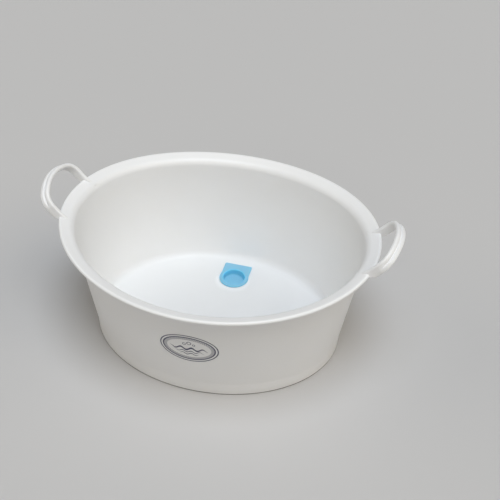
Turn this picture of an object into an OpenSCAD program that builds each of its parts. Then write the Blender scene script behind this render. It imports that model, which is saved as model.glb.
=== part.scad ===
// Oval wash tub of white moulded plastic, with two tilted strap handles and a soft drain plug.
// The origin is at the middle of the foot, on the surface that the tub stands on.
// X runs through the handles, -Y is the front with the print, +Z is up. Sizes are in millimetres.

/* [Vessel] */
// Length of the foot's oval outline
base_len = 336; // [260:1:420]
// Width of the foot's oval outline
base_wid = 268; // [240:1:340]
// Height of the lip at the middle of the long sides
side_h = 164; // [120:1:220]
// Height of the lip at the two handle ends
end_h = 173; // [120:1:220]
// Thickness of the wall and the flange
wall = 2.8; // [2:0.1:4]
// Lean of the wall from upright, in degrees
taper = 9.3; // [4:0.1:11]

/* [Foot and floor] */
// Height of the foot band below the wall
foot_h = 20; // [16:1:30]
// Lean of the foot band from upright, in degrees
foot_draft = 3; // [0:0.5:4]
// Width of the ring that the tub stands on
foot_w = 5; // [4:0.5:8]
// Rounding of the foot's outer edge
foot_edge_r = 2; // [1:0.5:3]
// Height of the floor's upper face
floor_z = 10; // [8:0.5:14]
// Thickness of the floor
floor_t = 3; // [2:0.5:4]
// Rounding between the floor and the wall
floor_r = 12; // [6:1:20]

/* [Rim] */
// How far the lip stands outside the foot, all round
rim_reach = 40.5; // [36:0.1:60]
// Slope of the flange, rising outwards, in degrees
flange_slope = 20; // [5:1:30]
// Radius of the bend from the wall into the flange, on its upper face
bend_r = 12; // [8:0.5:18]
// Radius of the beaded lip
lip_r = 2.8; // [2.2:0.1:4]

/* [Handles] */
// Distance between the two legs of a handle, at the middle of the upper bead
handle_span = 83.6; // [76:0.2:120]
// How far a loop reaches past the rim's end, measured along its slope
handle_reach = 26; // [24:0.5:45]
// Radius of the loop's two corners, at the middle of the upper bead
handle_corner_r = 20.4; // [12:0.1:22]
// Straight stretch of each leg past the rim's end
handle_straight = 0.2; // [0:0.1:2]
// Tilt of the loops above level, in degrees
handle_tilt = 49.3; // [20:0.1:60]
// Height of the upper bead over the lip, at the rim's end
handle_lift = 10.9; // [4:0.1:14]
// Radius of the strap's upper bead
bead_r = 2.9; // [2.4:0.05:4]
// Rounding of the band under the bead
skirt_r = 2.2; // [1.8:0.05:3]
// Distance from the bead's middle down to the middle of the band's lower rounding
skirt_drop = 8.2; // [7:0.05:12]
// Height of the band's outer face between its roundings
skirt_h = 2.6; // [1:0.1:2.8]
// How far the middle of the band's outer rounding lies outside the bead's middle
skirt_step = 1.75; // [0.5:0.05:2.5]
// Thickness of the web at the bottom of the groove between the bead and the band
web_t = 4.4; // [3:0.1:5]
// Distance from the lip's top, at the rim's end, down to a leg's underside
leg_drop = 3; // [2:0.1:5]

/* [Handle seats] */
// Depth of the rim notch that takes a leg, measured from the rim's end
notch_depth = 16; // [14:0.5:18]
// How much wider and longer the tongue in the notch is than the strap
tongue_edge = 0.5; // [0.3:0.1:1]
// Gap round the tongue in its notch
notch_gap = 0.15; // [0.1:0.05:0.4]

/* [Drain] */
// Distance from the middle of the floor back to the drain
drain_y = 83; // [50:1:84]
// Diameter of the drain bore
drain_d = 36; // [28:0.5:40]
// Width of the collar round the bore, under the floor
collar_w = 3; // [2:0.5:5]
// Height of the collar's lower end above the ground
collar_z = 2; // [1.5:0.5:4]

/* [Plug] */
// Gap between the plug and the bore
plug_gap = 0.3; // [0.2:0.05:0.6]
// Gap between the plug's flange and the floor
seat_gap = 0.2; // [0.1:0.05:0.4]
// How much the plug's radius narrows towards its lower end
plug_narrow = 0.8; // [0.2:0.1:1.5]
// Thickness of the plug's cup, flange and tab
plug_t = 2.4; // [1.8:0.1:3]
// Width of the flange that rests round the bore
plug_lip = 3; // [2:0.5:5]
// Width of the pull tab
tab_w = 40; // [24:1:42]
// Distance from the plug's middle to the end of the pull tab
tab_len = 29; // [26:0.5:34]
// Rounding of the pull tab's corners
tab_r = 2; // [1:0.5:4]

/* [Hidden] */
$fn = 96;

white = [0.90, 0.90, 0.90];
blue = [0.45, 0.73, 0.88];

// Facets round the oval, and along the arcs of its section
oval_n = 96;
bend_n = 6;
lip_n = 9;
edge_n = 3;
oval_step = 360 / oval_n;

// Ovals of the foot and the rim, and the lip's mean height and its rise to either side of that
base_a = base_len / 2;
base_b = base_wid / 2;
rim_a = base_a + rim_reach;
rim_b = base_b + rim_reach;
rim_h = (side_h + end_h) / 2;
rim_rise = (end_h - side_h) / 2;

// Unit directions in the section, as [outwards, up]
over_flange = [-sin(flange_slope), cos(flange_slope)];
out_of_wall = [cos(taper), -sin(taper)];

// Set-out of the section: the foot's top, the lip's middle, and the lines of the inner wall and upper flange
foot_top = [foot_h * tan(foot_draft), foot_h];
lip_c = [rim_reach - lip_r, rim_h - lip_r];
wall_line = foot_top * out_of_wall - wall;
flange_line = lip_c * over_flange + lip_r;

// Middle of the bend, bend_r outside the inner wall's line and bend_r under the flange's line
bend_c = let (k1 = wall_line + bend_r, k2 = flange_line - bend_r)
    [k1 * cos(flange_slope) + k2 * sin(taper), k1 * sin(flange_slope) + k2 * cos(taper)]
    / cos(taper + flange_slope);

// Middle of the rounding between the floor and the inner wall
floor_c = [(wall_line - floor_r + (floor_z + floor_r) * sin(taper)) / cos(taper), floor_z + floor_r];

// Angle at which the flange's underside runs into the lip
lip_from = flange_slope + 180 - asin((lip_r - wall) / lip_r);

function arc(c, r, from, to, n) =
    [for (i = [0:n]) let (t = from + (to - from) * i / n) c + r * [cos(t), sin(t)]];

under_bend = arc(bend_c, bend_r - wall, 180 - taper, 90 + flange_slope, bend_n);
over_bend = arc(bend_c, bend_r, 90 + flange_slope, 180 - taper, bend_n);
lip = arc(lip_c, lip_r, lip_from, 450 + flange_slope, lip_n);

// The shell's section from the floor's underside, up the outside, over the lip and down to the floor.
// Each point is its distance outside the foot's outline and its height at mid rise.
shell_section = concat(
    [[-foot_w, floor_z - floor_t], [-foot_w, 0]],
    arc([-foot_edge_r, foot_edge_r], foot_edge_r, -90, -foot_draft, edge_n),
    [foot_top],
    under_bend,
    lip,
    over_bend,
    arc(floor_c, floor_r, -taper, -90, bend_n));

// The flange and lip alone
flange_section = concat([under_bend[bend_n]], lip, [over_bend[0]]);

// Place of a section point at angle t round the oval, lifted above the foot towards the handle ends
function on_oval(p, t) = [
    (base_a + p.x) * cos(t),
    (base_b + p.x) * sin(t),
    p.y + rim_rise * cos(2 * t) * max(0, p.y - foot_h) / (rim_h - foot_h)];

// Two triangles between points i and k of the section, from column j to column l
function patch(i, k, j, l, n) = [[i * n + j, k * n + j, k * n + l], [i * n + j, k * n + l, i * n + l]];

// The section carried right round the oval, closed by the floor's two faces
module vessel() {
    n = oval_n;
    m = len(shell_section);
    points = [for (p = shell_section) for (j = [0:n - 1]) on_oval(p, j * oval_step)];
    sides = [for (i = [0:m - 2]) for (j = [0:n - 1]) each patch(i, i + 1, j, (j + 1) % n, n)];
    underside = [for (j = [0:n - 1]) j];
    floor_top = [for (j = [n - 1:-1:0]) (m - 1) * n + j];
    polyhedron(points, concat(sides, [underside, floor_top]));
}

// A stretch of the flange, with the same facets as the vessel, that holds one notch
module flange_stretch() {
    first = floor(asin(notch_y / rim_b) / oval_step) - 1;
    last = ceil(asin((notch_y + notch_w) / base_b) / oval_step) + 1;
    n = last - first + 1;
    m = len(flange_section);
    points = [for (p = flange_section) for (j = [first:last]) on_oval(p, j * oval_step)];
    sides = [for (i = [0:m - 1]) for (j = [0:n - 2]) each patch(i, (i + 1) % m, j, j + 1, n)];
    near_end = [for (i = [m - 1:-1:0]) i * n];
    far_end = [for (i = [0:m - 1]) i * n + n - 1];
    polyhedron(points, concat(sides, [near_end, far_end]));
}

// A loop is a three-centred arch: two corner arcs and a crown arc, which meet at arch_turn
leg_y = handle_span / 2;
corner_y = leg_y - handle_corner_r;
arch_h = handle_reach - handle_straight;
crown_r = (corner_y ^ 2 + arch_h ^ 2 - handle_corner_r ^ 2) / (2 * (arch_h - handle_corner_r));
arch_turn = atan2(corner_y, crown_r - arch_h);

// The strap's reach on either side of the bead's middle, and the notch that a leg's tongue fills
strap_out = max(bead_r, skirt_step + skirt_r);
strap_low = skirt_drop + skirt_r;
notch_y = leg_y - bead_r - tongue_edge;
notch_w = bead_r + strap_out + 2 * tongue_edge;
leg_z = end_h - leg_drop;
leg_len = (notch_depth + strap_low) / cos(handle_tilt) + handle_straight;

// The strap's section, a bead over a wider band: X points out of the loop, Y is square to the loop's plane
module strap_section() {
    circle(bead_r);
    translate([-bead_r, -skirt_drop])
        square([web_t, skirt_drop]);
    translate([-bead_r + skirt_r, -strap_low])
        square([bead_r - skirt_r + skirt_step, 2 * skirt_r]);
    translate([-bead_r, -skirt_drop])
        square([bead_r + skirt_step + skirt_r, skirt_h]);
    for (corner = [[-bead_r + skirt_r, -skirt_drop], [skirt_step, -skirt_drop], [skirt_step, skirt_h - skirt_drop]])
        translate(corner)
            circle(skirt_r);
}

// The strap bent round part of a circle
module strap_arc(r, from, to) {
    rotate_extrude(angle = to - from, start = from)
        translate([r, 0])
            strap_section();
}

// The whole loop in its own plane, with X along the slope from the rim's end
module loop() {
    translate([handle_reach - crown_r, 0, 0])
        strap_arc(crown_r, -arch_turn, arch_turn);
    for (side = [0, 1])
        mirror([0, side, 0]) {
            translate([handle_straight, corner_y, 0])
                strap_arc(handle_corner_r, arch_turn, 90);
            translate([handle_straight - leg_len, leg_y, 0])
                rotate([90, 0, 90])
                    linear_extrude(leg_len)
                        strap_section();
        }
}

// The notch beside +Y at the right end, grown by a gap
module notch(gap) {
    translate([rim_a - notch_depth - gap, notch_y - gap, foot_h])
        cube([notch_depth + rim_reach, notch_w + 2 * gap, end_h]);
}

// A handle at the right end: the loop cut off in the notches, and the two tongues that fill them
module handle() {
    room = handle_span + handle_reach + end_h;
    intersection() {
        translate([rim_a, 0, end_h + handle_lift])
            rotate([0, -handle_tilt, 0])
                loop();
        translate([rim_a - notch_depth + tongue_edge, -room / 2, leg_z])
            cube(room);
    }
    for (side = [0, 1])
        mirror([0, side, 0])
            intersection() {
                flange_stretch();
                notch(0);
            }
}

module tub_shell() {
    color(white)
        difference() {
            union() {
                vessel();
                translate([0, drain_y, collar_z])
                    cylinder(d = drain_d + 2 * collar_w, h = floor_z - floor_t / 2 - collar_z);
            }
            translate([0, drain_y, 0])
                cylinder(d = drain_d, h = 2 * floor_z);
            for (end = [0, 1])
                for (side = [0, 1])
                    mirror([end, 0, 0])
                        mirror([0, side, 0])
                            notch(notch_gap);
        }
}

module left_handle() {
    color(white)
        mirror([1, 0, 0])
            handle();
}

module right_handle() {
    color(white)
        handle();
}

// Plan of the plug's flange and its square tab
module plug_plan() {
    circle(d = drain_d + 2 * plug_lip);
    translate([-tab_w / 2, 0])
        square([tab_w, tab_len - tab_r]);
    translate([-tab_w / 2 + tab_r, 0])
        square([tab_w - 2 * tab_r, tab_len]);
    for (x = [-1, 1])
        translate([x * (tab_w / 2 - tab_r), tab_len - tab_r])
            circle(tab_r);
}

// A hollow cup that fills the bore, under a flat flange that is drawn out into the tab
module drain_plug() {
    top_r = drain_d / 2 - plug_gap;
    low_r = top_r - plug_narrow;
    depth = floor_z + seat_gap - collar_z;
    color(blue)
        translate([0, drain_y, floor_z + seat_gap])
            difference() {
                union() {
                    linear_extrude(plug_t)
                        plug_plan();
                    translate([0, 0, -depth])
                        cylinder(r1 = low_r, r2 = top_r, h = depth + plug_t / 2);
                }
                translate([0, 0, plug_t - depth])
                    cylinder(r1 = low_r - plug_t, r2 = top_r - plug_t, h = depth + plug_t);
            }
}

tub_shell();
left_handle();
right_handle();
drain_plug();
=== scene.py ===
# %% [markdown]
# # A washing tub from smooth surfaces
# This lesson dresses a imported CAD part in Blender. The object is an oval tub of white moulded plastic,
# with a flared rim, a strap handle at each end and a soft blue plug in its floor. The CAD model already
# has every piece in its place, in metres, with the ground at zero. Here each piece is made again as a
# fine, smooth surface that keeps the same sizes, because a moulding shows its quality in soft highlights
# that run without a break.

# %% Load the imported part
import math

import bpy
import numpy as np
from mathutils import Matrix, Vector


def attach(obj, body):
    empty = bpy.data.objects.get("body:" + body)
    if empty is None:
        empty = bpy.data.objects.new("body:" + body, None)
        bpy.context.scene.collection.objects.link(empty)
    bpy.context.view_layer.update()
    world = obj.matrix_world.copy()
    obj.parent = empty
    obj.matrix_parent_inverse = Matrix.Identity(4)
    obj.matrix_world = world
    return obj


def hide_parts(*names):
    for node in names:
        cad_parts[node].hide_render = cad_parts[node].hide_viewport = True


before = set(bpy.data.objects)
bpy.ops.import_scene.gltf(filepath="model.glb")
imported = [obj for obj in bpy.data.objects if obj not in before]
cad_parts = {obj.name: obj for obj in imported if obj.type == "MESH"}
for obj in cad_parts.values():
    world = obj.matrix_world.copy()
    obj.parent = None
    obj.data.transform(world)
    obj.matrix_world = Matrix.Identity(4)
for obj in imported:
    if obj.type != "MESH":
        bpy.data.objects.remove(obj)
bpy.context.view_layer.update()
scene = bpy.context.scene

# %% [markdown]
# ## The camera
# The view looks down on the front of the tub, a little from its right. Blender's camera looks along its
# own -Z with +Y up in the picture, so its matrix holds three columns: right, up and back. They come from
# three turns of a level camera, in radians: a small roll in the picture, a pitch downwards and a yaw
# about the upright axis.

# %% Set up the camera
CAMERA_PLACE = (0.2605, -0.9564, 0.9451)  # metres
CAMERA_PITCH, CAMERA_ROLL, CAMERA_YAW = 0.688180, 0.040679, -0.224631
CAMERA_LENS, CAMERA_SENSOR = 70.56, 36.0  # millimetres
CAMERA_SHIFT = -0.001  # share of the picture's width


def camera_axes(pitch, roll, yaw):
    """Right, down and forward as rows: the product of the matrices of the roll, the pitch and the yaw."""
    sp, cp = math.sin(pitch), math.cos(pitch)
    sr, cr = math.sin(roll), math.cos(roll)
    sy, cy = math.sin(yaw), math.cos(yaw)
    rolled = np.array([[cr, -sr, 0], [sr, cr, 0], [0, 0, 1]])
    pitched = np.array([[1, 0, 0], [0, -sp, -cp], [0, cp, -sp]])
    turned = np.array([[cy, -sy, 0], [sy, cy, 0], [0, 0, 1]])
    return rolled @ pitched @ turned


right, down, forward = camera_axes(CAMERA_PITCH, CAMERA_ROLL, CAMERA_YAW)
facing = Matrix(np.column_stack([right, -down, -forward]).tolist())
camera = bpy.data.objects.new("camera", bpy.data.cameras.new("camera"))
camera.data.lens, camera.data.sensor_width = CAMERA_LENS, CAMERA_SENSOR
camera.data.shift_x = CAMERA_SHIFT
camera.matrix_world = Matrix.Translation(CAMERA_PLACE) @ facing.to_4x4()
scene.collection.objects.link(camera)
scene.camera = camera
print("camera looks along", forward.round(3))

# %% [markdown]
# ## Turning arrays into meshes
# Every piece here is a grid of points: rows are closed rings, and the rows follow each other from one end
# of the piece to the other. Such a grid could be built face by face in a loop, but numpy gives the whole
# list of quads at once. Where a piece ends, a ring is closed by one n-sided face or by a fan of triangles
# that meet in a pole.

# %% Faces of a grid
def ring_quads(rows, columns, closed=False):
    """Quads between neighbouring rings: point j of ring i, its neighbour, and the same two in ring i + 1.
    In a closed grid the last ring is joined to the first as well."""
    i = np.arange(rows if closed else rows - 1)[:, None]
    j = np.arange(columns)[None, :]
    k, m = (i + 1) % rows, (j + 1) % columns
    return np.stack([i * columns + j, i * columns + m, k * columns + m, k * columns + j], -1).reshape(-1, 4)


def pole_fan(pole, first, columns):
    """Triangles from a single point to each edge of the ring whose points start at index first."""
    j = np.arange(columns)
    return np.stack([np.full(columns, pole), first + j, first + (j + 1) % columns], -1)


def capped_faces(rows, columns):
    """Quads of a grid of rings, and two fans that close its ends at the two poles listed after it."""
    points = rows * columns
    first_fan = pole_fan(points, 0, columns)[:, ::-1]
    last_fan = pole_fan(points + 1, points - columns, columns)
    return [ring_quads(rows, columns), first_fan, last_fan]


# %% [markdown]
# A surface has an outside, and light needs to know which side that is. The volume tells: the small
# pyramids from the origin to all faces add up to a positive number if the faces point outwards, so a
# piece whose sum is negative has its faces turned round. Sizes are written in millimetres, and they
# become metres as they enter the mesh.

# %% Make a mesh from arrays
MM = 0.001
CM3_IN_M3 = 1e6


def signed_volume(points, faces):
    """Sum of the pyramids from the origin to all triangles: a sixth of each triple product of corners."""
    total = 0.0
    for group in faces:
        corners = points[group]
        total += np.sum(corners[:, :1] * np.cross(corners[:, 1:-1], corners[:, 2:])) / 6
    return total


def make_piece(name, points, faces, attributes=None, uv=None):
    """A smooth mesh object from points in millimetres and a list of face arrays, turned outwards."""
    points = points.reshape(-1, 3) * MM
    volume = signed_volume(points, faces)
    if volume < 0:
        faces = [group[:, ::-1] for group in faces]
    mesh = bpy.data.meshes.new(name)
    mesh.from_pydata(points.tolist(), [], sum([group.tolist() for group in faces], []))
    mesh.polygons.foreach_set("use_smooth", np.ones(len(mesh.polygons), bool))
    for key, values in (attributes or {}).items():
        attribute = mesh.attributes.new(key, "FLOAT", "POINT")
        attribute.data.foreach_set("value", values.astype(np.float32))
    if uv is not None:
        corner = np.empty(len(mesh.loops), np.int32)
        mesh.loops.foreach_get("vertex_index", corner)
        mesh.uv_layers.new(name="flat").data.foreach_set("uv", uv[corner].astype(np.float32).ravel())
    mesh.update()
    piece = bpy.data.objects.new(name, mesh)
    scene.collection.objects.link(piece)
    triangles = sum(len(group) * (group.shape[1] - 2) for group in faces)
    print(f"{name}: {len(points)} points, {triangles} triangles, {abs(volume) * CM3_IN_M3:.1f} cm3")
    return piece


# %% [markdown]
# ## The section of the wall
# A moulded tub is one sheet of plastic of even thickness. Its section rises from a low foot, leans
# outwards, bends over into a sloping flange and ends in a round lip. The section is set out as a
# draughtsman would do it: two straight lines, and a round that touches both. All sizes are in
# millimetres, measured outwards from the foot's outline and upwards from the ground.

# %% Set out the section
BASE_A, BASE_B = 168.0, 134.0  # half axes of the foot's oval
SIDE_H, END_H = 164.0, 173.0  # height of the rim at the sides and at the handles
WALL, TAPER_DEG = 2.8, 9.3  # thickness and lean of the wall
FOOT_H, FOOT_W, FOOT_EDGE_R, FOOT_DRAFT_DEG = 20.0, 5.0, 1.0, 3.0  # the foot band, its edges and its lean
FLOOR_Z, FLOOR_T, FLOOR_R = 10.0, 3.0, 12.0  # top and thickness of the floor, and its round into the wall
RIM_REACH, LIP_R = 40.5, 2.8  # how far the rim stands outside the foot, and the round of its lip
FLANGE_DEG, BEND_R = 20.0, 12.0  # slope of the flange, and the round from the wall into it

TAPER, FLANGE_SLOPE, FOOT_DRAFT = np.radians([TAPER_DEG, FLANGE_DEG, FOOT_DRAFT_DEG])
RIM_A, RIM_B = BASE_A + RIM_REACH, BASE_B + RIM_REACH
RIM_H, RIM_RISE = (SIDE_H + END_H) / 2, (END_H - SIDE_H) / 2


def meeting(normal_a, at_a, normal_b, at_b):
    """The point where two lines meet. Each line is a unit normal and its distance from the origin."""
    return np.linalg.solve([normal_a, normal_b], [at_a, at_b])


over_flange = np.array([-math.sin(FLANGE_SLOPE), math.cos(FLANGE_SLOPE)])
out_of_wall = np.array([math.cos(TAPER), -math.sin(TAPER)])
up_wall = np.array([math.sin(TAPER), math.cos(TAPER)])
up_foot = np.array([math.sin(FOOT_DRAFT), math.cos(FOOT_DRAFT)])
over_floor = np.array([0.0, 1.0])
foot_top = np.array([FOOT_H * math.tan(FOOT_DRAFT), FOOT_H])
lip_centre = np.array([RIM_REACH - LIP_R, RIM_H - LIP_R])
wall_line = foot_top @ out_of_wall - WALL
flange_line = lip_centre @ over_flange + LIP_R
bend_centre = meeting(out_of_wall, wall_line + BEND_R, over_flange, flange_line - BEND_R)
floor_centre = meeting(out_of_wall, wall_line - FLOOR_R, over_floor, FLOOR_Z + FLOOR_R)
print("bend centre", bend_centre.round(2), "floor rounding centre", floor_centre.round(2))

# %% [markdown]
# Arcs and lines between those points give the rows of the grid. A long flat stretch needs only a few
# rows, and a round needs many. Where the wall breaks away from the foot, three close rows keep the edge
# crisp, because smooth shading would otherwise blur it over the whole wall.

# %% Draw the section as rows of points
BREAK_BELOW, BREAK_NEAR, BREAK_ABOVE = 0.55, 0.05, 0.7  # distances of those rows from the edge


def arc(centre, radius, start, end, count):
    """Points on a circle from one angle to another, in degrees."""
    a = np.radians(np.linspace(start, end, count))
    return np.asarray(centre) + radius * np.column_stack([np.cos(a), np.sin(a)])


def line(start, end, count):
    """Points strictly between two others, evenly spaced."""
    s = (np.arange(count) + 1)[:, None] / (count + 1)
    return np.asarray(start) * (1 - s) + np.asarray(end) * s


def joined(*parts):
    """Parts one after the other."""
    return np.concatenate([np.atleast_2d(p) for p in parts])


foot_corner = arc([FOOT_EDGE_R - FOOT_W, FOOT_EDGE_R], FOOT_EDGE_R, 180, 270, 5)
foot_round = arc([-FOOT_EDGE_R, FOOT_EDGE_R], FOOT_EDGE_R, -90, -FOOT_DRAFT_DEG, 9)
foot_break = joined(foot_top - BREAK_BELOW * up_foot, foot_top - BREAK_NEAR * up_foot,
                    foot_top + BREAK_ABOVE * up_wall)
under_bend = arc(bend_centre, BEND_R - WALL, 180 - TAPER_DEG, 90 + FLANGE_DEG, 16)
over_bend = arc(bend_centre, BEND_R, 90 + FLANGE_DEG, 180 - TAPER_DEG, 22)
lip = arc(lip_centre, LIP_R, 180 + FLANGE_DEG, 450 + FLANGE_DEG, 24)
floor_round = arc(floor_centre, FLOOR_R, -TAPER_DEG, -90, 14)
wall_section = joined(
    foot_corner, foot_round, line(foot_round[-1], foot_break[0], 3), foot_break,
    line(foot_break[-1], under_bend[0], 9), under_bend, line(under_bend[-1], lip[0], 4), lip,
    line(lip[-1], over_bend[0], 5), over_bend, line(over_bend[-1], floor_round[0], 9), floor_round)
print("section points", len(wall_section), "highest", wall_section[:, 1].max())

# %% [markdown]
# ## The tub itself
# The rim is not level: it climbs towards the handles like a saddle, so the section can't just be spun
# round. Each point of the section is carried round an oval that is as much larger than the foot's oval as
# the point lies outside it, and lifted by a wave that goes up twice in a turn. The floor has one hole,
# the drain. That makes the tub a ring in the topologist's sense, so a single grid that closes in both
# directions covers all of it: up the outside, over the rim and down the inside, across the floor into the
# drain, and back underneath to the foot, with no pole and no seam.

# %% Carry the section round the oval
RING, RING_FINE = 560, 7200  # points of a ring, and steps of the sum that spaces them
LEG_Y = 41.8  # distance of a handle leg from the tub's long axis
LEG_CROWD, LEG_SPREAD = 3.0, 0.07  # how much denser the points are by a leg, and over what angle


def ring_angles(count, leg_angle):
    """Angles round the oval, packed closer by the four handle legs: a density, summed and inverted."""
    fine = np.linspace(0, 2 * np.pi, RING_FINE + 1)
    legs = np.array([leg_angle, np.pi - leg_angle, np.pi + leg_angle, 2 * np.pi - leg_angle])
    density = 1 + LEG_CROWD * np.exp(-((fine[:, None] - legs) / LEG_SPREAD) ** 2).sum(1)
    share = np.concatenate([[0], np.cumsum((density[1:] + density[:-1]) / 2)])
    return np.interp(np.arange(count) / count * share[-1], share, fine)


def on_oval(section, angle):
    """Section points at angles round the oval: half axes grow by x, and z by its share of the saddle."""
    x, z = section[..., 0], section[..., 1]
    lift = RIM_RISE * np.cos(2 * angle) * np.maximum(0, z - FOOT_H) / (RIM_H - FOOT_H)
    return np.stack([(BASE_A + x) * np.cos(angle), (BASE_B + x) * np.sin(angle), z + lift], -1)


turn = ring_angles(RING, math.asin(LEG_Y / RIM_B))
wall_rows = on_oval(wall_section[:, None], turn)
print("wall grid", wall_rows.shape)

# %% [markdown]
# The floor runs from the oval of the inner wall to the round edge of the drain. Every point of the oval
# is joined to the point of the drain circle that lies in its direction, and the rows between are shares
# of that straight way. The bore goes down through a short collar, and the underside runs back from there
# to the foot.

# %% Rings of the drain
DRAIN_Y, DRAIN_R = 83.0, 18.0  # place of the bore behind the middle, and its radius
COLLAR_W, COLLAR_Z = 3.0, 2.0  # thickness of its collar, and the height at which that ends
BORE_EDGE_R, COLLAR_EDGE_R, UNDER_R = 0.8, 0.6, 1.2  # roundings above, below and in the corners underneath
drain_middle = np.array([0.0, DRAIN_Y])


def at_heights(plan, height):
    """Rings in space from rings in plan: all points of a ring get the ring's height."""
    return np.concatenate([plan, np.broadcast_to(height[:, None, None], plan.shape[:2] + (1,))], -1)


def round_rings(radius_height, toward):
    """Rings round the drain: each has a radius and a height, with points in the given plan directions."""
    radius, height = radius_height.T
    return at_heights(drain_middle + radius[:, None, None] * toward, height)


toward_wall = wall_rows[-1, :, :2] - drain_middle
toward_wall /= np.linalg.norm(toward_wall, axis=1, keepdims=True)
collar_r, under_z = DRAIN_R + COLLAR_W, FLOOR_Z - FLOOR_T
bore_section = joined(
    arc([DRAIN_R + BORE_EDGE_R, FLOOR_Z - BORE_EDGE_R], BORE_EDGE_R, 90, 180, 6),
    line([DRAIN_R, FLOOR_Z - BORE_EDGE_R], [DRAIN_R, COLLAR_Z + COLLAR_EDGE_R], 3),
    arc([DRAIN_R + COLLAR_EDGE_R, COLLAR_Z + COLLAR_EDGE_R], COLLAR_EDGE_R, 180, 270, 5),
    arc([collar_r - COLLAR_EDGE_R, COLLAR_Z + COLLAR_EDGE_R], COLLAR_EDGE_R, -90, 0, 5),
    arc([collar_r + UNDER_R, under_z - UNDER_R], UNDER_R, 180, 90, 6))
bore_rows = round_rings(bore_section, toward_wall)
print("bore grid", bore_rows.shape)

# %% Floor and underside close the tub
FLOOR_RINGS, UNDER_RINGS = 14, 10
FLOOR_SHADE_LEAD, FLOOR_SHADE_ROWS = 2, 9  # rows by which the painted floor shade starts before the floor's rounding, and rows of its growth


def between(ring_a, ring_b, count):
    """Rings at even shares of the way from one ring to another."""
    s = (np.arange(count) + 1)[:, None, None] / (count + 1)
    return ring_a * (1 - s) + ring_b * s


def smooth_step(value, low, high):
    """0 below low and 1 above high, with an even S-curve between."""
    s = np.clip((value - low) / (high - low), 0, 1)
    return s * s * (3 - 2 * s)


under_corner = on_oval(arc([-FOOT_W - UNDER_R, under_z - UNDER_R], UNDER_R, 90, 0, 5)[:, None], turn)
floor_rows = between(wall_rows[-1], bore_rows[0], FLOOR_RINGS)
under_rows = between(bore_rows[-1], under_corner[0], UNDER_RINGS)
shell_rows = np.concatenate([wall_rows, floor_rows, bore_rows, under_rows, under_corner])
row = np.arange(len(shell_rows))
# painted shade: the inside floor gets a greyer white, from just before its rounding to the drain
floor_shade_start, floor_shade_end = len(wall_rows) - len(floor_round) - FLOOR_SHADE_LEAD, len(wall_rows) + FLOOR_RINGS
row_floor_shade = np.where(row < floor_shade_end, smooth_step(row - floor_shade_start, 0, FLOOR_SHADE_ROWS), 0)
tub_shell = make_piece("tub_moulding", shell_rows, [ring_quads(len(shell_rows), RING, closed=True)],
                       {"floor_shade": np.repeat(row_floor_shade, RING)})
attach(tub_shell, "tub")
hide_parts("tub_shell")

# %% [markdown]
# ## The strap handles
# Each handle is a stepped strap bent into a loop: a round bead along its top, and under it a broad band
# that stands a little further out, with a fine groove between the two. Near the rim the groove runs out
# into a flat face, and the bead sinks into the flange as a low ridge. A sweep along a curve object would
# keep one section all the way, so the strap is worked out as an array instead: its section may change
# from station to station. The loop is drawn flat first, as a crown and two corners that touch it, with
# legs that run into the rim.

# %% The path of a loop
HANDLE_REACH, HANDLE_CORNER_R = 26.0, 20.4  # from the rim's end to the crown, and the round of the corners
HANDLE_STRAIGHT, TAIL_LENGTH = 0.2, 31.0  # straight of the legs outside the rim's end, and inside it

# the crown's circle runs through the outermost point, and the circles of both corners touch it from inside
corner_y = LEG_Y - HANDLE_CORNER_R
arch_h = HANDLE_REACH - HANDLE_STRAIGHT
crown_r = (corner_y ** 2 + arch_h ** 2 - HANDLE_CORNER_R ** 2) / (2 * (arch_h - HANDLE_CORNER_R))
crown_centre, corner_centre = [HANDLE_REACH - crown_r, 0], [HANDLE_STRAIGHT, corner_y]
arch_turn = math.degrees(math.atan2(corner_y, crown_r - arch_h))
half_crown = arc(crown_centre, crown_r, 0, arch_turn, 26)
half_corner = arc(corner_centre, HANDLE_CORNER_R, arch_turn, 90, 40)[1:]
leg_end = [-TAIL_LENGTH, LEG_Y]
half_leg = joined(line(half_corner[-1], leg_end, 39), leg_end)
half_path = joined(half_crown, half_corner, half_leg)
half_out = joined((half_crown - crown_centre) / crown_r, (half_corner - corner_centre) / HANDLE_CORNER_R,
                  np.tile([0.0, 1.0], (len(half_leg), 1)))
flip = np.array([1.0, -1.0])
path = joined((half_path * flip)[:0:-1], half_path)
path_out = joined((half_out * flip)[:0:-1], half_out)
print("stations along the strap", len(path))

# %% [markdown]
# The section is written as two edges, level by level from the bead downwards: how far the strap reaches
# out of the loop, and how far into it. The outer edge is the largest of three simple shapes, bead, web
# and band. A soft maximum, the logarithm of a sum of exponentials, rounds the inner corners of the groove
# by itself.

# %% The section of the strap
BEAD_R, BEAD_H, WEB_T = 2.9, 0.8, 4.4  # round and straight of the bead, and thickness behind the groove
SKIRT_R, SKIRT_H = 2.2, 1.9  # round and straight of the band
SKIRT_DROP, SKIRT_STEP = 8.2, 1.75  # how far the band lies below the bead, and outside its middle
GROOVE_SOFT, FAR_INSIDE = 0.42, -8.0  # softness of the maximum, and a reach that never wins it


def soft_max(values, softness):
    """Logarithm of the sum of exponentials along the first axis: a maximum with rounded corners."""
    values = np.asarray(values) / softness
    top = values.max(0)
    return softness * (top + np.log(np.exp(values - top).sum(0)))


def half_chord(height, radius):
    """Half width of a circle at a height above its middle, and far inside where the circle isn't."""
    room = radius ** 2 - height ** 2
    return np.where(room >= 0, np.sqrt(np.maximum(room, 0)), FAR_INSIDE)


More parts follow.
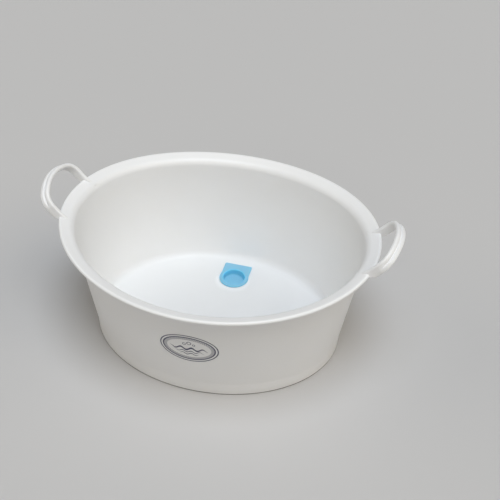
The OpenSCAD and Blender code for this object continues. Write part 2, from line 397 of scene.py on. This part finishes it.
level = np.concatenate([
    BEAD_R * np.sin(np.linspace(np.pi / 2, 0, 16)), np.linspace(0, -SKIRT_DROP, 46)[1:-1],
    -SKIRT_DROP - SKIRT_R * np.sin(np.linspace(0, np.pi / 2, 14))])
in_web = (level <= 0) & (level >= -SKIRT_DROP)
from_bead = level - np.clip(level, -BEAD_H, 0)
from_skirt = level - np.clip(level, -SKIRT_DROP, SKIRT_H - SKIRT_DROP)
reach_out = soft_max([half_chord(from_bead, BEAD_R), np.where(in_web, WEB_T - BEAD_R, FAR_INSIDE),
                      SKIRT_STEP + half_chord(from_skirt, SKIRT_R)], GROOVE_SOFT)
reach_out[0] = 0.0
skirt_in = SKIRT_R - BEAD_R - half_chord(level + SKIRT_DROP, SKIRT_R)
reach_in = np.where(level > 0, -half_chord(level, BEAD_R), np.where(in_web, -BEAD_R, skirt_in))
down_face = np.clip(-level / (SKIRT_DROP - SKIRT_H), 0, 1)
reach_flat = np.where(in_web, BEAD_R + down_face * (SKIRT_STEP + SKIRT_R - BEAD_R), reach_out)
print(f"strap is {np.max(reach_out - reach_in):.2f} mm thick and {np.ptp(level):.2f} mm high")

# %% [markdown]
# The flat loop is then laid on a sheet that slopes upwards and outwards from the rim. Inside the rim the
# sheet bends a little flatter, so that the legs run into the flange at a shallow angle. The groove fades
# in along the way.

# %% Lay the loop on its slope
HANDLE_TILT, HANDLE_LIFT = math.radians(49.3), 10.9  # slope of the sheet, and its height over the rim's end
TAIL_TILT, TAIL_BEND_R, TAIL_FROM = math.radians(43.0), 40.0, -9.0  # flatter slope, its bend, and its start
GROOVE_FROM, GROOVE_TO = 2.0, 12.0  # distances from the rim at which the groove starts and is full


def on_slope(u):
    """Place and tilt on the handle's sheet, at u outwards from the rim: a straight slope that bends
    flatter on a round inside TAIL_FROM, and is straight again after that."""
    run = np.clip((TAIL_FROM - u) / TAIL_BEND_R, 0, HANDLE_TILT - TAIL_TILT)
    tilt = HANDLE_TILT - run
    steep = np.maximum(u, TAIL_FROM)
    rest = np.minimum(u - TAIL_FROM + run * TAIL_BEND_R, 0)
    bend_x = TAIL_BEND_R * (np.sin(tilt) - math.sin(HANDLE_TILT))
    bend_z = TAIL_BEND_R * (math.cos(HANDLE_TILT) - np.cos(tilt))
    x = steep * math.cos(HANDLE_TILT) + bend_x + rest * np.cos(tilt)
    z = steep * math.sin(HANDLE_TILT) + bend_z + rest * np.sin(tilt)
    return RIM_A + x, END_H + HANDLE_LIFT + z, tilt


slope_x, slope_z, tilt = on_slope(path[:, 0])
spine = np.stack([slope_x, path[:, 1], slope_z], -1)
along = np.stack([np.cos(tilt), np.zeros(len(path)), np.sin(tilt)], -1)
square_up = np.stack([-np.sin(tilt), np.zeros(len(path)), np.cos(tilt)], -1)
across = np.array([0.0, 1.0, 0.0])
outward = path_out[:, :1] * along + path_out[:, 1:] * across
walked = np.concatenate([[0], np.cumsum(np.linalg.norm(np.diff(path, axis=0), axis=1))])
from_rim = np.minimum(walked, walked[-1] - walked) - TAIL_LENGTH
grooved = smooth_step(from_rim, GROOVE_FROM, GROOVE_TO)[:, None]
print("strap length", walked[-1].round(1), "mm, crown at height", slope_z.max().round(1))

# %% Sweep the section along the loop
LEG_SINK, LEG_SOFT = 3.0, 0.35  # the legs' lowest level below the rim's top, and how softly it holds
LEG_FALL, LEG_FROM = 0.15, -10.0  # that level falls with the flange from this place inwards

strap_out = np.where(in_web, reach_flat + grooved * (reach_out - reach_flat), reach_out)
strap_in = np.broadcast_to(reach_in[:0:-1], (len(path), len(level) - 1))
section_out = np.concatenate([strap_out, strap_in], 1)[..., None]
section_up = np.concatenate([level, level[:0:-1]])[:, None]
strap = spine[:, None] + section_out * outward[:, None] + section_up * square_up[:, None]
leg_bottom = END_H - LEG_SINK + LEG_FALL * np.minimum(path[:, :1] - LEG_FROM, 0)
strap[..., 2] = soft_max([strap[..., 2], np.broadcast_to(leg_bottom, strap.shape[:2])], LEG_SOFT)
print("strap grid", strap.shape, "top at", strap[..., 2].max().round(2))

# %% Make both handles
stations, columns = strap.shape[:2]
first_end = np.arange(columns)[None]
last_end = first_end + (stations - 1) * columns
strap_faces = [ring_quads(stations, columns), first_end[:, ::-1], last_end]
white_pieces = [tub_shell]
for side, name in ((-1, "left_handle"), (1, "right_handle")):
    handle = make_piece(name + "_strap", strap * [side, 1, 1], strap_faces)
    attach(handle, "tub")
    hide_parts(name)
    white_pieces.append(handle)

# %% [markdown]
# ## The drain plug
# The plug is a soft stopper: a hollow cup that fills the bore, under a flat flange that is drawn out into
# a square pull tab. All of its rings can be seen from the middle of the cup, so one grid covers it from
# the pole at the bottom of the dish, over the rim, round the outer edge and under to the pole below. The
# flange's rings change from a circle into the outline of flange and tab together.

# %% Outline of the plug's flange and tab
FLANGE_LIP = 3.0  # how far the flange covers the edge of the bore
TAB_W, TAB_LEN, TAB_R = 40.0, 29.0, 2.0  # width of the tab, its end from the bore's middle, and its corners
flange_r = DRAIN_R + FLANGE_LIP
tab_side_y = math.sqrt(flange_r ** 2 - (TAB_W / 2) ** 2)
tab_side_deg = math.degrees(math.atan2(tab_side_y, TAB_W / 2))
tab_end = [0, TAB_LEN]
round_side = arc([0, 0], flange_r, -90, tab_side_deg, 60)
corner = arc([TAB_W / 2 - TAB_R, TAB_LEN - TAB_R], TAB_R, 0, 90, 10)
half_outline = joined(round_side, line(round_side[-1], corner[0], 11), corner,
                      line(corner[-1], tab_end, 9), tab_end)
outline = joined(half_outline, (half_outline * [-1, 1])[-2:0:-1])
edge_run = np.roll(outline, -1, 0) - np.roll(outline, 1, 0)
edge_run /= np.linalg.norm(edge_run, axis=1, keepdims=True)
outline_out = edge_run[:, ::-1] * [1, -1]
bearing = outline / np.linalg.norm(outline, axis=1, keepdims=True)
print("outline points", len(outline))

# %% Rings of the plug
PLUG_T, PLUG_ROOM, PLUG_NARROW = 2.4, 0.3, 0.8  # wall, room in the bore, and narrowing towards the bottom
SEAT_GAP = 0.2  # between the flange and the floor
PLUG_LOW, PLUG_SEAT = COLLAR_Z, FLOOR_Z + SEAT_GAP
DISH_R, MOUTH_R = 2.2, 1.0  # roundings at the bottom and at the mouth of the dish
NECK_R, CUP_R = 0.5, 1.2  # roundings under the flange and at the bottom of the cup
FLANGE_RINGS, SEAT_RINGS = 8, 5


def outline_rings(inset_height):
    """Rings along the outline of flange and tab, each moved inwards by its inset and set at its height."""
    inset, height = inset_height.T
    return at_heights(drain_middle + outline - inset[:, None, None] * outline_out, height)


cup_top = DRAIN_R - PLUG_ROOM
cup_low = cup_top - PLUG_NARROW
dish_top, dish_low = cup_top - PLUG_T, cup_low - PLUG_T
top_z, dish_z, half_t = PLUG_SEAT + PLUG_T, PLUG_LOW + PLUG_T, PLUG_T / 2
dish = round_rings(joined(
    line([0, dish_z], [dish_low - DISH_R, dish_z], 5),
    arc([dish_low - DISH_R, dish_z + DISH_R], DISH_R, -90, 0, 9),
    line([dish_low, dish_z + DISH_R], [dish_top, top_z - MOUTH_R], 4),
    arc([dish_top + MOUTH_R, top_z - MOUTH_R], MOUTH_R, 180, 90, 7)), bearing)
edge = outline_rings(arc([half_t, PLUG_SEAT + half_t], half_t, 90, 270, 13))
under = round_rings(joined(
    arc([cup_top + NECK_R, PLUG_SEAT - NECK_R], NECK_R, 90, 180, 4),
    line([cup_top, PLUG_SEAT - NECK_R], [cup_low, PLUG_LOW + CUP_R], 3),
    arc([cup_low - CUP_R, PLUG_LOW + CUP_R], CUP_R, 0, -90, 7),
    line([cup_low - CUP_R, PLUG_LOW], [0, PLUG_LOW], 5)), bearing)
flange_top = between(dish[-1], edge[0], FLANGE_RINGS)
flange_seat = between(edge[-1], under[0], SEAT_RINGS)
plug_rings = np.concatenate([dish, flange_top, edge, flange_seat, under])
print("plug grid", plug_rings.shape)

# %% [markdown]
# The mesh carries a painted depth and shade for the plug's blue: a soft, milky plastic looks deeper where
# there is more of it in the line of sight, and the wall of the dish and the cut edge lie in shade. It is an
# attribute, one value for each ring: little in the middle of the dish, most along its wall, almost none on
# the flat flange, and more again round the cut edge.

# %% Make the plug
DISH_DEPTH_SHADE, MOUTH_DEPTH_SHADE, EDGE_DEPTH_SHADE = 0.25, 0.3025, 0.25  # painted depth and shade in the dish, at its mouth, on the cut edge
DISH_WALL_FROM, DISH_WALL_TO = 0.15, 0.75  # shares of the dish's rings over which its painted depth and shade grow

# painted shade: the stronger blue grows along the wall of the dish
dish_wall = smooth_step(np.linspace(0, 1, len(dish)), DISH_WALL_FROM, DISH_WALL_TO)
ring_depth = np.concatenate([
    DISH_DEPTH_SHADE + (1 - DISH_DEPTH_SHADE) * dish_wall, MOUTH_DEPTH_SHADE * np.linspace(1, 0, FLANGE_RINGS) ** 2,
    np.linspace(EDGE_DEPTH_SHADE, 1, len(edge)), np.ones(SEAT_RINGS + len(under))])
plug_poles = [[0, DRAIN_Y, dish_z], [0, DRAIN_Y, PLUG_LOW]]
plug_points = joined(plug_rings.reshape(-1, 3), plug_poles)
plug_depth = np.concatenate([np.repeat(ring_depth, len(outline)), [DISH_DEPTH_SHADE, 1.0]])
plug = make_piece("drain_plug_soft", plug_points, capped_faces(len(plug_rings), len(outline)),
                  {"depth": plug_depth})
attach(plug, "plug")
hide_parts("drain_plug")

# %% [markdown]
# ## The print on the front
# An oval is printed on the front wall. A print is a film of ink, so it is a patch that lies a tenth of a
# millimetre proud of the wall and follows it exactly: it asks the same oval formula for its points. The
# patch carries its flat drawing as a UV map at true scale, and each point's distance from the oval's edge
# as an attribute for the border.

# %% Lay the print on the wall
PRINT_A, PRINT_B = 38.1, 27.2  # half axes of the oval
PRINT_Z, PRINT_X = 91.5, 3.2  # height of its middle, and its place to the right along the wall
PRINT_PROUD, PRINT_SUNK = 0.10, 0.30  # its face stands out of the wall, and its back lies in it
PRINT_SPOKES, BORDER_FROM = 192, 0.7  # spokes of the grid, and the share of its size where closer rings start


def on_front_wall(a, b, proud):
    """Wall points a along and b up from the print's middle: b climbs the slope, a turns about the oval."""
    rise = (PRINT_Z - FOOT_H) / math.cos(TAPER) + b
    section = foot_top + rise[..., None] * up_wall + proud[..., None] * out_of_wall
    return on_oval(section, -np.pi / 2 + (a + PRINT_X) / (BASE_A + section[..., 0]))


spoke = np.linspace(0, 2 * np.pi, PRINT_SPOKES, endpoint=False)
share = np.concatenate([np.linspace(0, BORDER_FROM, 12)[1:], np.linspace(BORDER_FROM, 1, 25)[1:]])
shares = np.concatenate([share, share[::-1]])[:, None]
proud = np.repeat([PRINT_PROUD, -PRINT_SUNK], len(share))[:, None]
flat_a = PRINT_A * shares * np.cos(spoke)
flat_b = PRINT_B * shares * np.sin(spoke)
print_rings = on_front_wall(flat_a, flat_b, np.broadcast_to(proud, flat_a.shape))
print_poles = on_front_wall(np.zeros(2), np.zeros(2), np.array([PRINT_PROUD, -PRINT_SUNK]))
print("print grid", print_rings.shape)

# %% Make the print
PRINT_UV_MM, UV_MIDDLE = 100.0, 0.5  # millimetres in a unit of the UV map, and the drawing's middle on it

# the share grows outwards by its steepness in each millimetre, so what it lacks of 1 gives the distance
steepness = np.hypot(flat_a / PRINT_A ** 2, flat_b / PRINT_B ** 2) / shares
from_edge = (1 - shares) / steepness
edge_mm = np.concatenate([from_edge.ravel(), [PRINT_B, PRINT_B]])
flat = joined(np.stack([flat_a, flat_b], -1).reshape(-1, 2), np.zeros((2, 2)))
print_points = joined(print_rings.reshape(-1, 3), print_poles)
front_print = make_piece("front_print", print_points, capped_faces(*flat_a.shape),
                         {"edge_mm": edge_mm}, flat / PRINT_UV_MM + UV_MIDDLE)
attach(front_print, "tub")

# %% [markdown]
# ## Finishes
# A finish is a small tree of shader nodes. Nodes could be placed one by one, but then simple arithmetic
# takes a dozen lines. The class below wraps one socket, so that maths on it reads as maths and adds its
# own Math nodes.

# %% A socket that does maths
MIX_SHARE, MIX_PAPER, MIX_INK, MIX_RESULT = 0, 6, 7, 2  # the colour sockets of a Mix node


class Wire:
    """One output socket of a node tree. Arithmetic on it adds Math nodes, and node() adds any other node."""

    def __init__(self, tree, socket=None):
        self.tree, self.socket = tree, socket

    def node(self, kind, settings=None, inputs=None, output=0):
        """Adds a node: its settings first, then its inputs as values or links. Returns the chosen output."""
        made = self.tree.nodes.new(kind)
        for key, value in (settings or {}).items():
            setattr(made, key, value)
        for key, value in (inputs or {}).items():
            if isinstance(value, Wire):
                self.tree.links.new(value.socket, made.inputs[key])
            else:
                made.inputs[key].default_value = value
        return Wire(self.tree, made.outputs[output])

    def other(self, output):
        """Another output of the same node."""
        return Wire(self.tree, self.socket.node.outputs[output])

    def maths(self, operation, *values, clamp=False):
        """A Math node on the given values."""
        settings = {"operation": operation, "use_clamp": clamp}
        return self.node("ShaderNodeMath", settings, dict(enumerate(values)))

    def __add__(self, other):
        return self.maths("ADD", self, other)

    def __sub__(self, other):
        return self.maths("SUBTRACT", self, other)

    def __rsub__(self, other):
        return self.maths("SUBTRACT", other, self)

    def __mul__(self, other):
        return self.maths("MULTIPLY", self, other)

    def __truediv__(self, other):
        return self.maths("DIVIDE", self, other)

    def __rtruediv__(self, other):
        return self.maths("DIVIDE", other, self)

    __radd__, __rmul__ = __add__, __mul__

    def size(self):
        """The value without its sign."""
        return self.maths("ABSOLUTE", self)

    def clamped(self):
        """The value, held between 0 and 1."""
        return self.maths("MULTIPLY", self, 1.0, clamp=True)

    def below(self, limit, soft):
        """1 where the value is well below the limit and 0 well above it, with a soft edge."""
        return ((limit - self) / soft + 0.5).clamped()

    def within(self, low, high, soft):
        """1 between two limits and 0 outside them, with soft edges."""
        return self.below(high, soft) * (1 - self.below(low, soft))

    def tint(self, ink, paper):
        """A colour between paper, at 0, and ink, at 1."""
        sockets = {MIX_SHARE: self, MIX_PAPER: paper, MIX_INK: ink}
        return self.node("ShaderNodeMix", {"data_type": "RGBA"}, sockets, MIX_RESULT)


# %% [markdown]
# Every finish starts from the Principled shader. A value that is the same all over is set on the shader's
# own socket, and only what changes over the surface is linked. Two nodes come up in both plastics, noise
# and bump.

# %% Helpers for finishes
NOISE_MIDDLE = 0.5  # noise swings about this value


def start_finish(name, values):
    """A fresh material, its shader with the values that are the same all over, and a wire to its tree."""
    material = bpy.data.materials.new(name)
    material.use_nodes = True
    shader = material.node_tree.nodes["Principled BSDF"]
    for key, value in values.items():
        shader.inputs[key].default_value = value
    return material, shader, Wire(material.node_tree)


def connect(shader, name, wire):
    """Links a wire to one of the shader's sockets."""
    wire.tree.links.new(wire.socket, shader.inputs[name])


def noise(place, scale, detail, roughness=0.5):
    """Soft noise: scale is how many lumps a metre has, and detail how many finer layers are added."""
    sockets = {"Vector": place, "Scale": scale, "Detail": detail, "Roughness": roughness}
    return place.node("ShaderNodeTexNoise", {}, sockets)


def bump(height, strength):
    """The normal of a surface that is raised by a height in metres, at a share of its full strength."""
    return height.node("ShaderNodeBump", {}, {"Strength": strength, "Distance": 1.0, "Height": height})


# %% [markdown]
# ### White moulded plastic
# Polypropylene is a plain white that lets a little light in under its skin. One even white would do from
# afar, but close up it looks like paper, because real gloss isn't even: the mould's polish varies, and
# slow cooling leaves the surface very slightly wavy. A large soft noise moves the colour and the roughness
# by a few parts in a hundred, a fine noise gives the skin its tooth, and both reach the light as bump. Shade
# is painted in two places. The inside floor is painted a little grey and made duller, a painted shade that
# the mesh carries as an attribute, and the edge that stands on the ground holds a hairline of painted
# shadow, which the finish finds by its height.

# %% The white finish
WHITE, WHITE_DULL = (0.910, 0.915, 0.920, 1.0), (0.885, 0.888, 0.888, 1.0)
# painted shade: a greyer white for the inside floor, and a near black for a shadow line under the foot's edge
WHITE_SHADED_FLOOR, FOOT_SHADOW = (0.745, 0.756, 0.764, 1.0), (0.085, 0.072, 0.062, 1.0)
SCUFF, SCUFF_Z, SCUFF_SOFT = 0.55, 0.006, 0.008  # how dull the foot is, up to what height, and how softly
FOOT_SHADOW_Z, FOOT_SHADOW_SOFT = 0.0015, 0.0008  # height of the painted shadow line in metres, and how softly it ends
DULL_FROM, DULL_GAIN = 0.35, 1.4  # the noise at which the white starts to turn dull, and how fast it does
FLOOR_SHADE_EVEN, FLOOR_SHADE_CLOUD = 0.7, 0.6  # even and cloudy shares of the painted floor shade
FOOT_SHADOW_EVEN = 0.5  # even share of the painted shadow line
WHITE_ROUGH, ROUGH_CLOUD, ROUGH_SKIN = 0.33, 0.09, 0.05  # roughness, and how far the two noises move it
ROUGH_SCUFF, ROUGH_FLOOR_SHADE = 0.25, 0.10  # what the scuff and the painted floor shade add to the roughness
CLOUD_BUMP, SKIN_BUMP = 0.00022, 0.000012  # heights in metres
WHITE_BODY = {"IOR": 1.49, "Subsurface Weight": 0.08, "Subsurface Radius": (0.004, 0.0038, 0.0034),
              "Subsurface Scale": 1.0}


def white_skin(name):
    """White gloss plastic: its material, its shader and the wire of its colour, which isn't linked yet."""
    material, shader, tree = start_finish(name, WHITE_BODY)
    place = tree.node("ShaderNodeTexCoord", output="Object")
    cloud = noise(place, scale=14.0, detail=3.0)
    skin = noise(place, scale=900.0, detail=2.0, roughness=0.6)
    height = tree.node("ShaderNodeSeparateXYZ", {}, {"Vector": place}, output="Z")
    floor_shade = tree.node("ShaderNodeAttribute", {"attribute_name": "floor_shade"}, output="Fac")
    scuff = height.below(SCUFF_Z, SCUFF_SOFT) * SCUFF
    colour = ((cloud - DULL_FROM) * DULL_GAIN + scuff).clamped().tint(WHITE_DULL, WHITE)
    # painted shade: the inside floor is greyed by its mesh attribute, and a hairline of painted shadow runs
    # along the foot's lowest edge
    colour = (floor_shade * (FLOOR_SHADE_EVEN + cloud * FLOOR_SHADE_CLOUD)).tint(WHITE_SHADED_FLOOR, colour)
    colour = (height.below(FOOT_SHADOW_Z, FOOT_SHADOW_SOFT) * (FOOT_SHADOW_EVEN + cloud)).tint(FOOT_SHADOW, colour)
    polish = WHITE_ROUGH + cloud * ROUGH_CLOUD + (skin - NOISE_MIDDLE) * ROUGH_SKIN
    connect(shader, "Roughness", polish + scuff * ROUGH_SCUFF + floor_shade * ROUGH_FLOOR_SHADE)
    connect(shader, "Normal", bump(cloud * CLOUD_BUMP + skin * SKIN_BUMP, strength=0.35))
    return material, shader, colour


tub_white, shader, colour = white_skin("tub_white_plastic")
connect(shader, "Base Color", colour)
for piece in white_pieces:
    piece.data.materials.append(tub_white)
print("white finish nodes", len(tub_white.node_tree.nodes))

# %% [markdown]
# ### The printed oval
# The print has the wall's own white between its lines. Its border is two thin outlines and a softer band
# inside, with a fine rope of slanting strokes. In the middle stand three waves under a few bubbles. A
# picture could carry all of that, but then its pixels would show close up. So it is drawn as distances,
# which stay sharp: a stroke is wherever the distance to its curve is less than half its width.

# %% The border of the print
OUTER_LINE, INNER_LINE, ROPE_BAND = (0.5, 2.0), (4.1, 5.9), (5.9, 9.8)  # millimetres in from the edge
LINE_SOFT, ROPE_SOFT = 0.3, 0.8  # millimetres over which they fade
ROPE_STROKES, ROPE_SLANT = 56.0, 2.6  # strokes in a turn, and how far they lean over
ROPE_TONE, ROPE_SWING = 0.46, 0.24  # how dark the rope is, and how much it varies

print_white, shader, white = white_skin("front_print_ink")
tree = Wire(print_white.node_tree)
drawing = tree.node("ShaderNodeUVMap", {"uv_map": "flat"})
flat_x = tree.node("ShaderNodeSeparateXYZ", {}, {"Vector": drawing}, output="X")
a = (flat_x - UV_MIDDLE) * PRINT_UV_MM
b = (flat_x.other("Y") - UV_MIDDLE) * PRINT_UV_MM
inset = tree.node("ShaderNodeAttribute", {"attribute_name": "edge_mm"}, output="Fac")
outlines = inset.within(*OUTER_LINE, LINE_SOFT) + inset.within(*INNER_LINE, LINE_SOFT)
angle = tree.maths("ARCTAN2", b * (PRINT_A / PRINT_B), a)
strokes = tree.maths("SINE", angle * ROPE_STROKES + inset * ROPE_SLANT) * ROPE_SWING + ROPE_TONE
rope = inset.within(*ROPE_BAND, ROPE_SOFT) * strokes
print("border nodes", len(print_white.node_tree.nodes))

# %% Waves, bubbles and ink
INK, INK_COVER = (0.020, 0.024, 0.085, 1.0), 0.97


def wave(middle, half_width, half_length, height, length):
    """A stroke along a sine, in millimetres. Its distance is measured up and down, and its width falls with
    the cube of the way from its middle to its end."""
    curve = tree.maths("SINE", a * (2 * math.pi / length)) * height
    thin = 1 - tree.maths("POWER", a.size() / half_length, 3.0)
    stroke = (b - middle - curve).size().below(thin * half_width, LINE_SOFT)
    return stroke * a.size().below(half_length, LINE_SOFT)


def bubble(x, y, radius, line_width):
    """A ring, in millimetres: the distance from its middle lies near its radius."""
    dx, dy = a - x, b - y
    distance = tree.maths("SQRT", dx * dx + dy * dy)
    return (distance - radius).size().below(line_width / 2, LINE_SOFT)


waves = (wave(middle=-0.8, half_width=1.7, half_length=24.5, height=2.3, length=14.0)
         + wave(middle=-6.6, half_width=0.75, half_length=19.5, height=1.5, length=11.0)
         + wave(middle=-11.2, half_width=0.75, half_length=13.0, height=1.5, length=11.0))
bubbles = (bubble(x=-5.6, y=8.6, radius=1.9, line_width=0.8)
           + bubble(x=0.6, y=11.0, radius=2.6, line_width=0.9)
           + bubble(x=6.6, y=8.2, radius=1.5, line_width=0.8))
ink = tree.maths("MULTIPLY", outlines + rope + waves + bubbles, INK_COVER, clamp=True)
connect(shader, "Base Color", ink.tint(INK, white))
front_print.data.materials.append(print_white)
print("print nodes", len(print_white.node_tree.nodes))

# %% [markdown]
# ### The blue elastomer
# The plug is soft and lets light through, so it looks deepest where one looks along its wall: at the ring
# of the cup and along the cut edges, which also lie in shade. Light could be traced through the whole
# piece, but a painted depth and shade that the mesh carries can be baked, so the colour goes from a pale
# sky blue to a stronger one with that painted shade.

# %% The blue finish
# painted shade: the stronger blue is laid where the dish wall and the cut edge lie in shade
SKY, DEEP_SHADED_BLUE = (0.240, 0.510, 0.705, 1.0), (0.160, 0.550, 0.800, 1.0)
BLUE_ROUGH, BLUE_CLOUD, BLUE_GRAIN = 0.36, 0.15, 0.08  # roughness, and how far the two noises move it
DEPTH_SHADE_CLOUD = 0.25  # how far the large noise moves the painted depth and shade of the colour
BLUE_BUMP, GRAIN_BUMP = 0.00010, 0.00002  # heights in metres
BLUE_BODY = {"IOR": 1.43, "Subsurface Weight": 0.6, "Subsurface Radius": (0.0020, 0.0045, 0.0060),
             "Subsurface Scale": 1.0}

plug_blue, shader, tree = start_finish("plug_blue_elastomer", BLUE_BODY)
place = tree.node("ShaderNodeTexCoord", output="Object")
cloud = noise(place, scale=60.0, detail=3.0)
grain = noise(place, scale=1600.0, detail=2.0)
depth = tree.node("ShaderNodeAttribute", {"attribute_name": "depth"}, output="Fac")
swing = cloud - NOISE_MIDDLE
connect(shader, "Base Color", (depth + swing * DEPTH_SHADE_CLOUD).clamped().tint(DEEP_SHADED_BLUE, SKY))
connect(shader, "Roughness", BLUE_ROUGH + swing * BLUE_CLOUD + (grain - NOISE_MIDDLE) * BLUE_GRAIN)
connect(shader, "Normal", bump(grain * GRAIN_BUMP + cloud * BLUE_BUMP, strength=0.3))
plug.data.materials.append(plug_blue)
print("blue finish nodes", len(plug_blue.node_tree.nodes))

# %% [markdown]
# ## Floor and light
# A white object needs a floor that is a little darker than itself, or its outline is lost. The main light
# comes from overhead and is slightly cool, so the rim and the inside are bright and the outer wall, which
# leans over its own foot, lies in a soft shade. Four weaker warm lamps from the front and the sides open
# up that shade. All of them are sun lamps with a wide spread: near lamps would leave pools of light on
# the floor, and these light it evenly right to the horizon.

# %% Floor
FLOOR_HALF = 40.0  # metres
FLOOR_BODY = {"Base Color": (0.574, 0.568, 0.566, 1.0), "Roughness": 0.75, "Specular IOR Level": 0.25}

floor_corners = FLOOR_HALF * np.array([[-1, -1, 0], [1, -1, 0], [1, 1, 0], [-1, 1, 0]])
floor_mesh = bpy.data.meshes.new("floor")
floor_mesh.from_pydata(floor_corners.tolist(), [], [(0, 1, 2, 3)])
floor = bpy.data.objects.new("floor", floor_mesh)
scene.collection.objects.link(floor)
floor_mesh.materials.append(start_finish("floor_pale_grey", FLOOR_BODY)[0])
print("floor is", 2 * FLOOR_HALF, "m wide")

# %% Lamps
COOL, WARM = (0.855, 0.920, 1.0), (1.0, 0.905, 0.755)


def far_lamp(name, place, strength, spread, colour):
    """A lamp so far off that it lights the whole floor alike. It shines from its place towards the tub,
    along its own -Z. Its spread in degrees is how wide it looks from the tub, and softens its shadows."""
    lamp = bpy.data.lights.new(name, "SUN")
    lamp.energy, lamp.angle, lamp.color = strength, math.radians(spread), colour
    holder = bpy.data.objects.new(name, lamp)
    scene.collection.objects.link(holder)
    holder.location = place
    holder.rotation_euler = Vector(place).to_track_quat("Z", "Y").to_euler()


far_lamp("overhead", (0.22, -0.46, 2.3), strength=1.91, spread=38, colour=COOL)
far_lamp("ceiling_right", (1.8, -1.2, 2.3), strength=0.54, spread=38, colour=WARM)
far_lamp("right_fill", (2.2, 0.2, 1.7), strength=0.38, spread=40, colour=WARM)
far_lamp("left_fill", (-2.2, -0.4, 1.2), strength=0.40, spread=42, colour=WARM)
far_lamp("front_fill", (0, -2.2, 1.9), strength=0.30, spread=40, colour=WARM)

# %% [markdown]
# The world itself gives very little light. It is pale only for the camera and for reflections, so that
# the floor ends in a background of its own tone. The Light Path node tells the kinds of rays apart.

# %% World
HORIZON, ZENITH = (0.090, 0.081, 0.066, 1.0), (0.01, 0.01, 0.01, 1.0)
SURROUND = (0.53, 0.525, 0.515, 1.0)

world = bpy.data.worlds.new("soft_room")
scene.world = world
world.use_nodes = True
sky = Wire(world.node_tree)
towards = sky.node("ShaderNodeTexCoord", output="Generated")
upward = sky.node("ShaderNodeSeparateXYZ", {}, {"Vector": towards}, output="Z")
glow = upward.clamped().tint(ZENITH, HORIZON)
camera_ray = sky.node("ShaderNodeLightPath", output="Is Camera Ray")
mirrored = camera_ray.other("Is Glossy Ray") + camera_ray.other("Is Transmission Ray")
seen = (camera_ray + mirrored).clamped()
connect(world.node_tree.nodes["Background"], "Color", seen.tint(SURROUND, glow))
scene.view_settings.view_transform = "Standard"
print("world nodes", len(world.node_tree.nodes))

# %% [markdown]
# ## The end
# The dressed model keeps the CAD model's size. The view layer is brought up to date once more.

# %% Finish
bpy.context.view_layer.update()
